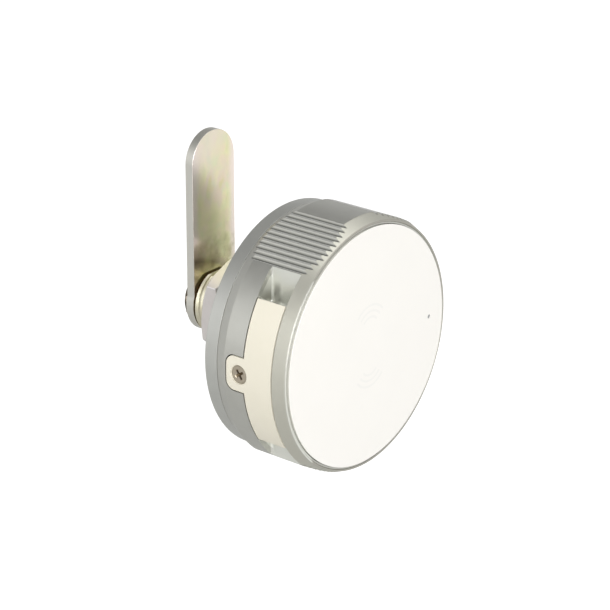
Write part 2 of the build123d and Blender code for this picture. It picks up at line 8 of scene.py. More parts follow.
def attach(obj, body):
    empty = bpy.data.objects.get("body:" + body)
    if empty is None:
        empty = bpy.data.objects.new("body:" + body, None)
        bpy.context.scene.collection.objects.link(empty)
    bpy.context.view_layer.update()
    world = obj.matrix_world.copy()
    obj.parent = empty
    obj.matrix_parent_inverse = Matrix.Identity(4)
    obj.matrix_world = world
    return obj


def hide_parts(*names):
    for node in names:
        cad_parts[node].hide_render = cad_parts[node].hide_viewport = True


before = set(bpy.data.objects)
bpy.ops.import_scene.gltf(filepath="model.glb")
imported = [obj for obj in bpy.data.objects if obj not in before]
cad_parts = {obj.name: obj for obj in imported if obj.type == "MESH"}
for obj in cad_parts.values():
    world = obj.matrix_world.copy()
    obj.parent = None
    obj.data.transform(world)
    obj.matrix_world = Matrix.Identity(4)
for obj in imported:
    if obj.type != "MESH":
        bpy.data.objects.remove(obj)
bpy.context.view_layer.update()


# Camera
# The lock is seen from its left side and a little from above, through a long lens.
# The shift only puts the lock where it stands in the picture.
view_azimuth = math.radians(-51.0)
view_elevation = math.radians(22.675)
view_roll = math.radians(0.165)
view_distance = 0.49856
view_target = Vector((-0.02562, -0.0232, 0.01443))
sensor_width = 36
focal_pixels = 2345.893
middle_x, middle_y = 296.21, 321.29
picture_side = 610

back = Vector(
    (
        math.sin(view_azimuth) * math.cos(view_elevation),
        -math.cos(view_azimuth) * math.cos(view_elevation),
        math.sin(view_elevation),
    )
)
level = Vector((math.cos(view_azimuth), math.sin(view_azimuth), 0))
upright = back.cross(level)
right = level * math.cos(view_roll) + upright * math.sin(view_roll)
above = upright * math.cos(view_roll) - level * math.sin(view_roll)
lens = bpy.data.cameras.new("camera")
camera = bpy.data.objects.new("camera", lens)
bpy.context.scene.collection.objects.link(camera)
place = Matrix((right, above, back)).transposed().to_4x4()
place.translation = view_target + back * view_distance
camera.matrix_world = place
lens.sensor_width = sensor_width
lens.lens = sensor_width * focal_pixels / picture_side
lens.shift_x = (picture_side / 2 - middle_x) / picture_side
lens.shift_y = (middle_y - picture_side / 2) / picture_side
lens.clip_start = 0.01
lens.clip_end = 20
bpy.context.scene.camera = camera


# Floor and studio light
# A plain white floor lies well below the lock, in a bright room with four soft lamps.
# Rays from the camera see the room white, and the floor keeps its shadows.
scene = bpy.context.scene
scene.view_settings.view_transform = "Standard"


class Link:
    """A socket whose sums, differences and products become Math nodes."""

    def __init__(self, paint, socket):
        self.paint = paint
        self.socket = socket

    def maths(self, operation, *others):
        inputs = dict(enumerate((self,) + others))
        return self.paint.node("ShaderNodeMath", {"operation": operation}, inputs)

    def __add__(self, other):
        return self.maths("ADD", other)

    def __radd__(self, other):
        return self.maths("ADD", other)

    def __sub__(self, other):
        return self.maths("SUBTRACT", other)

    def __rsub__(self, other):
        return self.paint.node("ShaderNodeMath", {"operation": "SUBTRACT"}, {0: other, 1: self})

    def __mul__(self, other):
        return self.maths("MULTIPLY", other)

    def __rmul__(self, other):
        return self.maths("MULTIPLY", other)

    def __truediv__(self, other):
        return self.maths("DIVIDE", other)

    def __pow__(self, other):
        return self.maths("POWER", other)

    def __neg__(self):
        return 0 - self

    def __abs__(self):
        return self.maths("ABSOLUTE")

    def __gt__(self, other):
        return self.maths("GREATER_THAN", other)

    def __lt__(self, other):
        return self.maths("LESS_THAN", other)

    def rise(self, low, high):
        """0 below low, 1 above high, smooth between."""
        return self.paint.node(
            "ShaderNodeMapRange",
            {"interpolation_type": "SMOOTHSTEP"},
            {"Value": self, "From Min": low, "From Max": high},
        )


class Paint:
    """A node tree of a material or of the room, with one method that adds nodes."""

    def __init__(self, name, tree=None, **constants):
        if tree is None:
            self.material = bpy.data.materials.new(name)
            self.material.use_nodes = True
            tree = self.material.node_tree
        self.tree = tree
        self.shader = tree.nodes.get("Principled BSDF")
        for key, value in constants.items():
            self.shader.inputs[key.replace("_", " ")].default_value = value

    def node(self, kind, settings, inputs, output=0):
        """Add a node: its settings first, then the values or links of its sockets."""
        made = self.tree.nodes.new(kind)
        for key, value in settings.items():
            if key == "stops":
                ramp = made.color_ramp.elements
                ramp.remove(ramp[1])
                ramp[0].position = value[0][0]
                ramp[0].color = (*value[0][1], 1)
                for position, colour in value[1:]:
                    ramp.new(position).color = (*colour, 1)
            else:
                setattr(made, key, value)
        for key, value in inputs.items():
            if isinstance(value, Link):
                self.tree.links.new(value.socket, made.inputs[key])
            else:
                made.inputs[key].default_value = value
        return Link(self, made.outputs[output]) if made.outputs else None

    def feed(self, socket, link):
        self.tree.links.new(link.socket, self.shader.inputs[socket])

    def millimetres(self):
        """The point on the piece, in millimetres."""
        point = self.node("ShaderNodeTexCoord", {}, {}, "Object")
        return self.node("ShaderNodeVectorMath", {"operation": "SCALE"}, {0: point, "Scale": 1000})

    def axes(self, point):
        """The three coordinates of a point."""
        made = self.tree.nodes.new("ShaderNodeSeparateXYZ")
        self.tree.links.new(point.socket, made.inputs[0])
        return [Link(self, socket) for socket in made.outputs]

    def noise(self, point, scale, detail, roughness=0.5, stretch=None):
        """Even noise from 0 to 1 on a point in millimetres, stretched by a vector where given."""
        if stretch:
            inputs = {0: point, 1: stretch}
            point = self.node("ShaderNodeVectorMath", {"operation": "MULTIPLY"}, inputs)
        inputs = {"Vector": point, "Scale": scale, "Detail": detail, "Roughness": roughness}
        return self.node("ShaderNodeTexNoise", {}, inputs)

    def mix(self, share, first, second):
        """A colour between two colours."""
        sockets = {0: share, 6: first, 7: second}
        for key in (6, 7):
            if not isinstance(sockets[key], Link):
                sockets[key] = (*sockets[key], 1)
        return self.node("ShaderNodeMix", {"data_type": "RGBA"}, sockets, 2)

    def bump(self, height, distance, strength):
        """A Bump node, its distance in millimetres."""
        inputs = {"Height": height, "Distance": distance / 1000, "Strength": strength}
        return self.node("ShaderNodeBump", {}, inputs)


# The room is brightest to the left behind the lock, and darker overhead, straight
# behind, at the left wall and at the right end of the back wall.
room_light, side_light = 0.92, 0.36
room = bpy.data.worlds.new("room")
room.use_nodes = True
scene.world = room
sky = Paint("room", room.node_tree)
sky.tree.nodes.clear()
across, along, up = sky.axes(sky.node("ShaderNodeTexCoord", {}, {}, "Generated"))
left_behind = (along * 0.62 - across * 0.78).rise(0.5, 1.0)
overhead = up.rise(0.25, 0.68) * (along + 0.6).rise(0, 0.5)
overhead = overhead * (1 - 0.3 * (-across).rise(0.3, 0.6))
left_wall = (-across - 1.2 * abs(along)).rise(0.3, 0.9) * (1 - up.rise(0, 0.4))
right_back = (across + along).rise(0.8, 1.3)
ambient = room_light + side_light * left_behind
ambient = ambient * (1 - 0.8 * overhead) * (1 - 0.3 * along.rise(0.6, 1.0))
ambient = ambient * (1 - 0.45 * left_wall) * (1 - 0.35 * right_back)
seen = sky.node("ShaderNodeLightPath", {}, {}, "Is Camera Ray")
strength = ambient + seen * (1 - ambient)
background = sky.node("ShaderNodeBackground", {}, {"Color": (1, 1, 1, 1), "Strength": strength})
sky.node("ShaderNodeOutputWorld", {}, {"Surface": background})

# The floor looks white to the camera. In the lock's metal it is mirrored grey, and
# brighter far behind on the left, in front of the lock, and a little close to it.
floor_drop, floor_reach = -0.14, 3
floor_seen, floor_mirrored = 0.84, 0.22
bm = bmesh.new()
bmesh.ops.create_grid(bm, x_segments=1, y_segments=1, size=floor_reach)
bmesh.ops.translate(bm, verts=bm.verts, vec=(0, 0, floor_drop))
floor_mesh = bpy.data.meshes.new("floor")
bm.to_mesh(floor_mesh)
bm.free()
floor = bpy.data.objects.new("floor", floor_mesh)
scene.collection.objects.link(floor)
floor_colour = (0.40, 0.40, 0.39, 1)
floor_paint = Paint("floor", Base_Color=floor_colour, Roughness=0.9, Emission_Strength=1.0)
seen = floor_paint.node("ShaderNodeLightPath", {}, {}, "Is Camera Ray")
shone = floor_paint.node("ShaderNodeLightPath", {}, {}, "Is Glossy Ray")
across, along, up = floor_paint.axes(floor_paint.millimetres())
left_glow = (along * 1.2 - across * 0.5).rise(200, 430)
right_glow = (across * 0.3 - along * 0.8).rise(0, 240)
near_glow = (1 - along.rise(30, 80)) * (1 - across.rise(60, 160))
mirrored = floor_mirrored + 0.2 * left_glow + 0.42 * right_glow + 0.1 * near_glow
glow = floor_seen * seen + mirrored * shone
floor_paint.feed("Emission Color", floor_paint.mix(glow, (0, 0, 0), (1, 1, 1)))
floor_mesh.materials.append(floor_paint.material)


def lamp(name, place, side, watts):
    """A square soft lamp that points at the lock."""
    data = bpy.data.lights.new(name, "AREA")
    data.shape = "SQUARE"
    data.size = side
    data.energy = watts
    made = bpy.data.objects.new(name, data)
    made.location = place
    made.rotation_euler = (-Vector(place)).to_track_quat("-Z", "Y").to_euler()
    scene.collection.objects.link(made)
    return made


lamp("key_lamp", (-0.79, -0.81, 0.3), side=0.8, watts=8.4)
lamp("top_lamp", (0.1, -0.08, 0.8), side=0.55, watts=1.7)
lamp("right_lamp", (0.5, -0.02, 0.62), side=0.4, watts=0.45)
low_lamp = lamp("low_lamp", (-0.5, 0.02, -0.12), side=0.2, watts=0.4)
low_lamp.visible_glossy = False


# Knob shell
# The outer shell of the knob is a die casting with a satin silver finish. Its drum is
# turned, then cut by four ridged grips and by the long recess of the battery cover.
knob_radius = 30.2
knob_front, knob_back = -23.2, -3.6
cone_back, bevel_front = knob_front + 3.4, knob_back - 3.0
lip_radius, lip_width, lip_front = 29.05, 0.42, -22.9
lip_taper, lip_step = 0.1, 0.25
cone_front = lip_front + 0.2
flange_radius = 28.9
inner_radius = 27.2
disc_radius, disc_gap = 28.0, 0.12
ledge_front, board_front, ledge_width = -21.85, -20.95, 1.0
grip_angles, grip_half_angle = (25.5, -25.5, 154.5, -154.5), 16.5
grip_height, grip_crown = 29.55, 83.0
groove_count, groove_pitch, groove_depth, groove_sharpness = 11, 1.52, 0.46, 2.4
grooved_half = groove_count / 2 * groove_pitch
recess_y0, recess_y1 = -20.05, -11.9
recess_floor, recess_corner, recess_edge = 20.1, 1.8, 0.7
recess_wall = 1.2
cover_half_angle, cover_inner_radius, cover_gap = 34.0, 28.7, 0.28
tab_width, tab_length, tab_corner = 8.1, 4.85, 2.0
tab_floor, tab_depth = 28.15, 6
bay_y0, bay_y1, bay_half, bay_bottom = -18.95, -12.95, 12.85, 15


def piece_of(name, bm):
    """Make a bmesh, drawn in millimetres, into an object of the scene."""
    mesh = bpy.data.meshes.new(name)
    bm.to_mesh(mesh)
    bm.free()
    made = bpy.data.objects.new(name, mesh)
    scene.collection.objects.link(made)
    return made


def round_edges(bm, edges, width, segments=3):
    """Round edges with a bevel."""
    bmesh.ops.bevel(
        bm,
        geom=edges,
        offset=width,
        offset_type="OFFSET",
        segments=segments,
        profile=0.5,
        affect="EDGES",
        material=-1,
        clamp_overlap=True,
    )


def round_corners(bm, points, radius):
    """Round corners of a flat outline with a bevel."""
    bmesh.ops.bevel(
        bm,
        geom=points,
        offset=radius,
        offset_type="OFFSET",
        segments=10,
        profile=0.5,
        affect="VERTICES",
        material=-1,
    )


def extruded(bm, faces):
    """Extrude faces, and return the new points, which still have to be moved."""
    made = bmesh.ops.extrude_face_region(bm, geom=faces)["geom"]
    return [item for item in made if isinstance(item, bmesh.types.BMVert)]


def thicken(bm, vector):
    """Extrude a flat outline by a vector, and turn its faces outwards."""
    bmesh.ops.translate(bm, verts=extruded(bm, bm.faces[:]), vec=vector)
    bmesh.ops.recalc_face_normals(bm, faces=bm.faces)


def turned(name, outline, steps=256, open_ends=False, angle=360.0):
    """Spin an outline of (radius, y) about the lock's axis. A third number rounds that edge."""
    bm = bmesh.new()
    corners = [bm.verts.new((point[0], point[1], 0)) for point in outline]
    for first, second in zip(corners, corners[1:]):
        bm.edges.new((first, second))
    if not open_ends:
        bm.edges.new((corners[-1], corners[0]))
    bmesh.ops.spin(
        bm,
        geom=bm.verts[:] + bm.edges[:],
        cent=(0, 0, 0),
        axis=(0, 1, 0),
        angle=math.radians(angle),
        steps=steps,
        use_merge=angle == 360.0,
    )
    bmesh.ops.remove_doubles(bm, verts=bm.verts, dist=0.001)
    if angle != 360.0:
        bmesh.ops.holes_fill(bm, edges=[edge for edge in bm.edges if edge.is_boundary])
    bmesh.ops.recalc_face_normals(bm, faces=bm.faces)
    for point in outline:
        if len(point) == 3:
            ringed = [edge for edge in bm.edges if all(on_ring(v, point) for v in edge.verts)]
            round_edges(bm, ringed, point[2])
    return piece_of(name, bm)


def on_ring(vertex, point):
    """Whether a vertex lies on the circle that an outline point makes."""
    radius = math.hypot(vertex.co.x, vertex.co.z)
    return abs(radius - point[0]) < 0.004 and abs(vertex.co.y - point[1]) < 0.004


def prism(name, corners, y0, y1, corner_radius, rounded, edge, edge_y):
    """Extrude an outline of (x, z) corners from y0 to y1, with some corners and one rim rounded."""
    bm = bmesh.new()
    points = [bm.verts.new((x, y0, z)) for x, z in corners]
    bm.faces.new(points)
    round_corners(bm, [points[index] for index in rounded], corner_radius)
    thicken(bm, (0, y1 - y0, 0))
    rim = [e for e in bm.edges if all(abs(v.co.y - edge_y) < 0.001 for v in e.verts)]
    round_edges(bm, rim, edge, 6)
    return piece_of(name, bm)


def block(name, xs, ys, zs):
    """A plain box between two values on each axis, used as a cutter."""
    spans = (xs, ys, zs)
    bm = bmesh.new()
    bmesh.ops.create_cube(bm, size=1)
    bmesh.ops.scale(bm, verts=bm.verts, vec=[high - low for low, high in spans])
    bmesh.ops.translate(bm, verts=bm.verts, vec=[(low + high) / 2 for low, high in spans])
    return piece_of(name, bm)


def carve(piece, tool, how="DIFFERENCE"):
    """Cut, join or intersect a piece with a tool, which is used up."""
    step = piece.modifiers.new("carve", "BOOLEAN")
    step.operation = how
    step.object = tool
    step.solver = "EXACT"
    bpy.context.view_layer.update()
    graph = bpy.context.evaluated_depsgraph_get()
    mesh = bpy.data.meshes.new_from_object(piece.evaluated_get(graph))
    piece.modifiers.clear()
    bm = bmesh.new()
    bm.from_mesh(mesh)
    bmesh.ops.remove_doubles(bm, verts=bm.verts, dist=0.003)
    bmesh.ops.dissolve_degenerate(bm, edges=bm.edges, dist=0.001)
    bm.to_mesh(mesh)
    bm.free()
    old = piece.data
    piece.data = mesh
    bpy.data.meshes.remove(old)
    bpy.data.objects.remove(tool)


def settle(piece, paint, body, node, sharp):
    """Scale a finished piece to metres, shade it, give it its finish, tie it to its body and hide the
    CAD node it stands for.
    """
    piece.data.transform(Matrix.Scale(0.001, 4))
    piece.data.shade_smooth()
    piece.data.set_sharp_from_angle(angle=math.radians(sharp))
    piece.data.materials.clear()
    piece.data.materials.append(paint.material)
    shading = piece.modifiers.new("shading", "WEIGHTED_NORMAL")
    shading.keep_sharp = True
    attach(piece, body)
    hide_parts(node)


def polar(radius, angle):
    """The (x, z) place at a radius and an angle from the top, clockwise as seen from the front."""
    turn = math.radians(angle)
    return radius * math.sin(turn), radius * math.cos(turn)


def grip_reach(angle):
    """How far the shell may reach at an angle: the crowned flats with their grooves."""
    crown_centre = grip_height - grip_crown
    for grip in grip_angles:
        turn = (angle - grip + 180) % 360 - 180
        if abs(turn) < grip_half_angle:
            turn = math.radians(turn)
            reach = knob_radius
            # The grooves run by sideways distance, so a few rounds settle the radius.
            for _ in range(5):
                side = reach * math.sin(turn)
                depth = 0.0
                if abs(side) < grooved_half:
                    wave = abs(math.cos(math.pi * side / groove_pitch))
                    depth = groove_depth * wave**groove_sharpness
                crest = crown_centre + math.sqrt(grip_crown**2 - side**2)
                reach = (crest - depth) / math.cos(turn)
            return min(reach, knob_radius + 1)
    return knob_radius + 1


knob_shell = turned(
    "knob_shell_shown",
    [
        (flange_radius, knob_back, 0.06),
        (knob_radius, bevel_front, 0.2),
        (knob_radius, cone_back, 0.25),
        (lip_radius, cone_front, 0.1),
        (lip_radius - lip_taper, lip_front, 0.06),
        (lip_radius - lip_width, lip_front, 0.08),
        (lip_radius - lip_width - 0.2, lip_front + lip_step),
        (disc_radius + disc_gap, lip_front + lip_step),
        (disc_radius + disc_gap, ledge_front),
        (inner_radius - ledge_width, ledge_front),
        (inner_radius - ledge_width, board_front),
        (inner_radius, board_front),
        (inner_radius, knob_back),
    ],
    steps=360,
)

# The grips and their grooves, as one tool that the drum is trimmed to.
bm = bmesh.new()
flat = Matrix.Rotation(math.pi / 2, 4, "X")
bmesh.ops.create_circle(bm, cap_ends=True, radius=knob_radius, segments=2160, matrix=flat)
for vertex in bm.verts:
    angle = math.degrees(math.atan2(vertex.co.x, vertex.co.z))
    vertex.co.x, vertex.co.z = polar(grip_reach(angle), angle)
    vertex.co.y = knob_front - 1
thicken(bm, (0, knob_back - knob_front + 2, 0))
carve(knob_shell, piece_of("grips", bm), "INTERSECT")

# The solid wall behind the recess.
side_reach = math.sqrt((knob_radius - 0.5) ** 2 - recess_floor**2) + recess_wall
trim_radius = inner_radius + 0.3
inner_block = block(
    "inner_block",
    (-trim_radius - 1, -recess_floor + 1.5),
    (ledge_front + 0.03, recess_y1 + recess_wall),
    (-side_reach, side_reach),
)
trim = turned("trim", [(0, -30), (trim_radius, -30), (trim_radius, 0), (0, 0)], open_ends=True)
carve(inner_block, trim, "INTERSECT")
carve(knob_shell, inner_block, "UNION")

# The two open ends of the recess, the cover's seat between them, the tab's pocket
# and the mouth of the battery bay.
corner_z = recess_floor * math.tan(math.radians(cover_half_angle))
out_x, out_z = polar(2 * knob_radius, -90 + cover_half_angle)
for side in (1, -1):
    pocket = prism(
        "pocket",
        [(-recess_floor, side * corner_z), (out_x, side * out_z), (-recess_floor, side * out_z)],
        recess_y0,
        recess_y1,
        corner_radius=recess_corner,
        rounded=(0,),
        edge=recess_edge,
        edge_y=recess_y1,
    )
    carve(knob_shell, pocket)
seat_inner, seat_outer = cover_inner_radius - 0.05, knob_radius + 2
seat_y0, seat_y1 = recess_y0 - 0.01, recess_y1 + 0.01
seat = turned(
    "seat",
    [(seat_inner, seat_y0), (seat_outer, seat_y0), (seat_outer, seat_y1), (seat_inner, seat_y1)],
    steps=60,
    angle=2 * cover_half_angle + 0.2,
)
seat.data.transform(Matrix.Rotation(math.radians(180 - cover_half_angle - 0.1), 4, "Y"))
carve(knob_shell, seat)

tab_start = recess_y1 - cover_gap - 2
tab_end = recess_y1 - cover_gap + tab_length


def tab_block(name, floor, gap):
    """The rounded tab of the cover, or its pocket with a gap around it."""
    half = tab_width / 2 + gap
    bm = bmesh.new()
    outline = [(tab_start, -half), (tab_end + gap, -half), (tab_end + gap, half), (tab_start, half)]
    points = [bm.verts.new((-floor, y, z)) for y, z in outline]
    bm.faces.new(points)
    round_corners(bm, points[1:3], tab_corner + gap)
    thicken(bm, (-tab_depth, 0, 0))
    return piece_of(name, bm)


carve(knob_shell, tab_block("tab_pocket", tab_floor - 0.05, cover_gap))
bay = block("bay_mouth", (-2 * knob_radius, -bay_bottom), (bay_y0, bay_y1), (-bay_half, bay_half))
carve(knob_shell, bay)

silver = Paint("satin_silver", Metallic=0.85, IOR=1.5)
point = silver.millimetres()
across, along, up = silver.axes(point)
aside, aloft = abs(across), abs(up)
radius = (across * across + up * up).maths("SQRT")
cast = silver.noise(point, 0.35, 3.0)
grain = silver.noise(point, 14.0, 2.0)
colour = silver.mix(cast, (0.51, 0.51, 0.47), (0.57, 0.57, 0.53))

# A point on a grip lies sideways along its flat and deep below its crest. On the grooves' own surface
# only, the ridges get a painted highlight, set a little to one side, and the troughs get painted shade.
tilt = math.radians(grip_angles[0])
sideways = aside * math.cos(tilt) - aloft * math.sin(tilt)
crest = grip_height - sideways * sideways / (2 * grip_crown)
deep = crest - aside * math.sin(tilt) - aloft * math.cos(tilt)
highlight_shift = 0.24
wave = abs((sideways * (math.pi / groove_pitch)).maths("COSINE"))
highlight_wave = abs(((sideways + highlight_shift) * (math.pi / groove_pitch)).maths("COSINE"))
off_groove = abs(deep - groove_depth * wave**groove_sharpness)
on_grooves = 1 - abs(sideways).rise(grooved_half - 0.06, grooved_half + 0.04)
ridged = on_grooves * (1 - off_groove.rise(0.03, 0.07))
# Painted highlight on the ridges.
colour = silver.mix(ridged * (1 - highlight_wave.rise(0.25, 0.85)) * 0.85, colour, (0.97, 0.97, 0.94))
# Painted shade in the troughs.
colour = silver.mix(ridged * wave.rise(0.6, 1.0) * 0.6, colour, (0.15, 0.155, 0.14))

# The cone is a little warmer than the drum, and the lip's front is painted darker, as painted shade by
# the gap to the disc.
cone_slope = (knob_radius - lip_radius) / (cone_back - cone_front)
off_cone = abs(radius - lip_radius - cone_slope * (along - cone_front))
on_cone = (1 - off_cone.rise(0.04, 0.08)) * (along < cone_back)
colour = silver.mix(on_cone * 0.7, colour, (0.55, 0.54, 0.46))
# Painted shade on the lip's front.
lip_shade = 1 - along.rise(cone_front - 0.06, cone_front)
colour = silver.mix(lip_shade * 0.7, colour, (0.36, 0.345, 0.30))

# The recess is smoother and a little less metallic, and its colour is lighter: painted light, for light
# bounced inside it. Painted shade darkens its far wall and a band of its floor beside that. The thin gap
# round the cover's tab is painted nearly black, as painted shade.
in_recess = (knob_radius - 1.2 - radius).rise(-0.1, 0.1) * (-across).rise(19.0, 19.8)
on_floor = (1 - abs(across + recess_floor).rise(0.04, 0.1)) * (along > recess_y0)
in_recess = in_recess.maths("MAXIMUM", on_floor * (along < recess_y1))
# Painted light in the recess.
colour = silver.mix(in_recess * 0.8, colour, (0.78, 0.79, 0.73))
# Painted shade on the far wall.
far_wall_shade = in_recess * along.rise(recess_y1 - 0.14, recess_y1 - 0.05) * (1 - aloft.rise(15.5, 19.0))
colour = silver.mix(far_wall_shade * 0.65, colour, (0.22, 0.21, 0.16))
# Painted shade on the floor beside the far wall.
from_shade = abs(along - (recess_y1 - 1.6))
shade = in_recess * (1 - from_shade.rise(0.3, 1.4)) * (1 - aloft.rise(17.5, 20.0))
colour = silver.mix(shade * 0.6, colour, (0.25, 0.25, 0.22))
# Painted shade in the gap round the tab.
tab_gap_shade = (knob_radius - 0.25 - radius).rise(-0.1, 0.3) * (-across).rise(19.0, 20.0)
tab_gap_shade = tab_gap_shade * (along > recess_y1 + 0.02) * (along < bevel_front - 0.1)
silver.feed("Base Color", silver.mix(tab_gap_shade * 0.9, colour, (0.06, 0.055, 0.045)))
silver.feed("Metallic", 0.85 - 0.2 * in_recess)
silver.feed("Roughness", 0.34 + 0.06 * grain + 0.04 * cast - 0.08 * in_recess)
silver.feed("Normal", silver.bump(grain, 0.012, 0.35))
settle(knob_shell, silver, "knob", "knob_shell", sharp=13.0)


# Front disc
# The face plate is a white glossy plastic disc, glued in inside the thin lip.
# A pinhole on the right lets a light through, and faint wave arcs mark the reader.
disc_back = -22.0
led_place, light_hole_radius = 22.8, 0.5
arc_centre, arc_lift, arc_radii = 0.6, 3.9, (3.1, 4.5, 5.9)
front_disc = turned(
    "front_disc_shown",
    [(0, knob_front), (disc_radius, knob_front, 0.12), (disc_radius, disc_back), (0, disc_back)],
    steps=256,
    open_ends=True,
)
bm = bmesh.new()
bmesh.ops.create_cone(
    bm,
    cap_ends=True,
    segments=32,
    radius1=light_hole_radius,
    radius2=light_hole_radius,
    depth=4,
    matrix=Matrix.Translation((led_place, knob_front, 0)) @ flat,
)
carve(front_disc, piece_of("hole", bm))

white = Paint("face_white", IOR=1.5, Coat_Weight=0.5, Coat_Roughness=0.03)
point = white.millimetres()
across, along, up = white.axes(point)
fade = white.noise(point, 0.08, 2.0)
beside = across - arc_centre
arcs = 0
for side in (1, -1):
    lift = up * side - arc_lift
    reach = (beside * beside + lift * lift).maths("SQRT")
    spread = (lift - 0.82 * abs(beside)).rise(0, 0.25)
    for arc_radius in arc_radii:
        arcs = arcs + (1 - abs(reach - arc_radius).rise(0.2, 0.34)) * spread
colour = white.mix(fade, (0.91, 0.888, 0.845), (0.94, 0.918, 0.872))
colour = white.mix(arcs * 0.3, colour, (0.80, 0.80, 0.77))
# Painted shade: the disc's edge, down in the gap to the lip, is painted grey.
rim = (across * across + up * up).maths("SQRT").rise(disc_radius - 0.1, disc_radius - 0.04)
white.feed("Base Color", white.mix(rim * (along > knob_front + 0.1), colour, (0.60, 0.59, 0.54)))
white.feed("Roughness", 0.16 + 0.03 * fade)
white.feed("Normal", white.bump(white.noise(point, 0.6, 2.0), 0.004, 0.3))
settle(front_disc, white, "knob", "front_disc", sharp=25.0)


# Battery cover
# A cream moulded cover closes the middle of the recess. Its rounded tab runs back
# over the drum and is held by one small countersunk screw.
cover_end_gap = 0.3
cover_y0, cover_y1 = recess_y0 + cover_gap, recess_y1 - cover_gap
cover_sweep = 2 * (cover_half_angle - cover_end_gap)
screw_y, screw_face, screw_head_height = -10.85, 29.95, 1.2
screw_head, screw_shank = 2.15, 0.95
head_gap, shank_gap = 0.1, 0.08
battery_cover = turned(
    "battery_cover_shown",
    [
        (cover_inner_radius, cover_y0),
        (knob_radius, cover_y0),
        (knob_radius, cover_y1),
        (cover_inner_radius, cover_y1),
    ],
    steps=96,
    angle=cover_sweep,
)
battery_cover.data.transform(Matrix.Rotation(math.radians(180 - cover_sweep / 2), 4, "Y"))
tab = tab_block("tab", tab_floor, 0)
drum = turned(
    "drum",
    [(0, knob_front), (knob_radius, knob_front), (knob_radius, knob_back), (0, knob_back)],
    steps=360,
    open_ends=True,
)
carve(tab, drum, "INTERSECT")
carve(battery_cover, tab, "UNION")


def turned_left(name, outline):
    """Spin an outline of (distance along -X, radius) about the cover screw's axis."""
    bm = bmesh.new()
    corners = [bm.verts.new((-x, screw_y, radius)) for x, radius in outline]
    for first, second in zip(corners, corners[1:]):
        bm.edges.new((first, second))
    bmesh.ops.spin(
        bm,
        geom=bm.verts[:] + bm.edges[:],
        cent=(0, screw_y, 0),
        axis=(1, 0, 0),
        angle=2 * math.pi,
        steps=64,
        use_merge=True,
    )
    bmesh.ops.remove_doubles(bm, verts=bm.verts, dist=0.001)
    bmesh.ops.recalc_face_normals(bm, faces=bm.faces)
    return piece_of(name, bm)


def soften(piece, width, angle):
    """Round every edge sharper than an angle a little, with a bevel that stays live."""
    step = piece.modifiers.new("soften", "BEVEL")
    step.width = width / 1000
    step.segments = 2
    step.limit_method = "ANGLE"
    step.angle_limit = math.radians(angle)


countersink = turned_left(
    "countersink",
    [
        (screw_face + 3, 0),
        (screw_face + 3, screw_head + head_gap),
        (screw_face, screw_head + head_gap),
        (screw_face - screw_head_height, screw_shank + shank_gap),
        (screw_face - 6, screw_shank + shank_gap),
        (screw_face - 6, 0),
    ],
)
carve(battery_cover, countersink)
cream = Paint("cover_cream", IOR=1.48)
point = cream.millimetres()
tone = cream.noise(point, 0.12, 2.0)
speck = cream.noise(point, 9.0, 3.0)
cream.feed("Base Color", cream.mix(tone, (0.765, 0.725, 0.60), (0.805, 0.765, 0.65)))
cream.feed("Roughness", 0.38 + 0.1 * speck)
cream.feed("Normal", cream.bump(speck, 0.01, 0.3))
soften(battery_cover, 0.12, 50)
settle(battery_cover, cream, "knob", "battery_cover", sharp=28.0)


# Cover screw
# A small countersunk steel screw with a cross recess, plated with nickel. It goes
# through the tab into a brass insert, and its head lies slightly sunk.
cover_cross_width, cover_cross_depth, cover_cross_turn = 2.5, 0.8, 35
cover_screw = turned_left(
    "cover_screw_shown",
    [
        (screw_face, 0),
        (screw_face, screw_head - 0.08),
        (screw_face - 0.08, screw_head),
        (screw_face - screw_head_height, screw_shank),
        (screw_face - 5, screw_shank),
        (screw_face - 5, 0),
    ],
)


def cut_cross(piece, width, depth, matrix):
    """Cut a cross recess as two crossing slots that narrow downwards."""
    for turn in (0, math.pi / 2):
        bm = bmesh.new()
        cube = bmesh.ops.create_cube(bm, size=1)["verts"]
        for vertex in cube:
            low = vertex.co.z < 0
            vertex.co.x *= width * (0.5 if low else 1.08)
            vertex.co.y *= width / 4.0 * (0.6 if low else 1.05)
            vertex.co.z = -depth if low else 0.12 * depth
        bmesh.ops.rotate(bm, verts=cube, cent=(0, 0, 0), matrix=Matrix.Rotation(turn, 3, "Z"))
        bmesh.ops.transform(bm, matrix=matrix, verts=bm.verts)
        carve(piece, piece_of("slot_cutter", bm))


on_head = Matrix.Translation((-screw_face, screw_y, 0)) @ Matrix.Rotation(-math.pi / 2, 4, "Y")
on_head = on_head @ Matrix.Rotation(math.radians(cover_cross_turn), 4, "Z")
cut_cross(cover_screw, cover_cross_width, cover_cross_depth, on_head)

# The same nickel serves the cam's screw. The rim of its head, next to the washer, is painted near black
# as painted shadow.
steel = Paint("screw_nickel", Metallic=1.0)
point = steel.millimetres()
wear = steel.noise(point, 1.6, 3.0)
across, along, up = steel.axes(point)
on_cover = (-across).rise(20.0, 21.0)
# Painted shade: all below the head's face, seen in the cross recess, is painted dark.
sunk = (across + screw_face).rise(0.04, 0.3) * on_cover
from_axis = ((along - screw_y) * (along - screw_y) + up * up).maths("SQRT")
# Painted shade: the outer ring of the head, by the countersink, is painted darker.
rim = from_axis.rise(screw_head - 0.5, screw_head - 0.05) * on_cover
# Painted shadow on the cam screw's head rim, next to the washer.
under_head_shadow = (along - 25.0).rise(0, 0.1) * (1 - (along - 26.1).rise(0, 0.2))
colour = steel.mix(wear, (0.42, 0.36, 0.27), (0.60, 0.54, 0.44))
colour = steel.mix(rim * 0.5, colour, (0.30, 0.27, 0.20))
colour = steel.mix(under_head_shadow * 0.85, colour, (0.05, 0.04, 0.03))
steel.feed("Base Color", steel.mix(sunk * 0.85, colour, (0.13, 0.09, 0.04)))
steel.feed("Roughness", 0.3 + 0.15 * wear + 0.3 * sunk)
steel.feed("Normal", steel.bump(wear, 0.01, 0.3))
settle(cover_screw, steel, "knob", "cover_screw", sharp=30.0)


